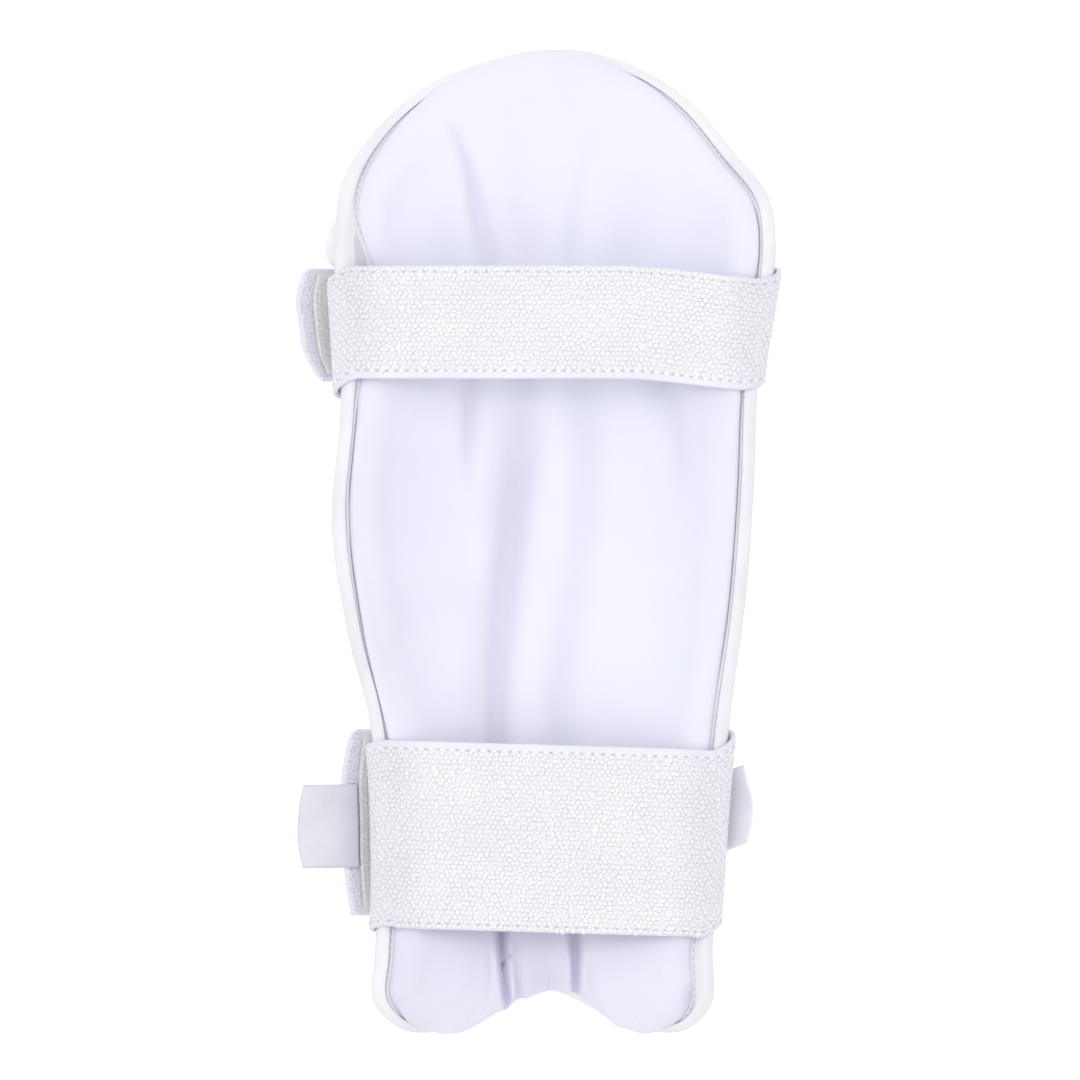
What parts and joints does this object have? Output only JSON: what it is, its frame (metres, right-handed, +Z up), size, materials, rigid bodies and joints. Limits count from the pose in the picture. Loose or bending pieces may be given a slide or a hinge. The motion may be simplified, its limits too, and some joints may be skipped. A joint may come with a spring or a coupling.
{
  "type": "cricket arm guard",
  "caption": "White padded forearm and elbow guard with a fabric lining, bound edge and wide elastic straps that close with hook tape.",
  "frame": {"origin": "middle of the bounding box's underside, which is the flat underside of the straps that the guard rests on", "axes": "+Y from the wrist end to the elbow end, +Z up out of the padded arm side, +X across the guard to the right edge"},
  "size_m": [0.1558, 0.3152, 0.0492],
  "materials": {
    "coated_leather": "white polyurethane-coated leather, fine grain, low gloss",
    "lining_fabric": "smooth brushed polyester lining, matt, faint lilac white",
    "elastic": "white loop-faced elastic with ribbed edges, matt",
    "hook_tape": "pale grey hook tape",
    "label_satin": "white woven satin, soft sheen"
  },
  "bodies": {
    "root": {"outer_pad": "coated_leather", "lining_pad": "lining_fabric", "edge_binding": "coated_leather", "upper_strap": "elastic", "lower_strap": "elastic", "upper_hook_tape": "hook_tape", "lower_hook_tape": "hook_tape", "strap_label": "label_satin", "care_label": "label_satin"}
  },
  "joints": []
}
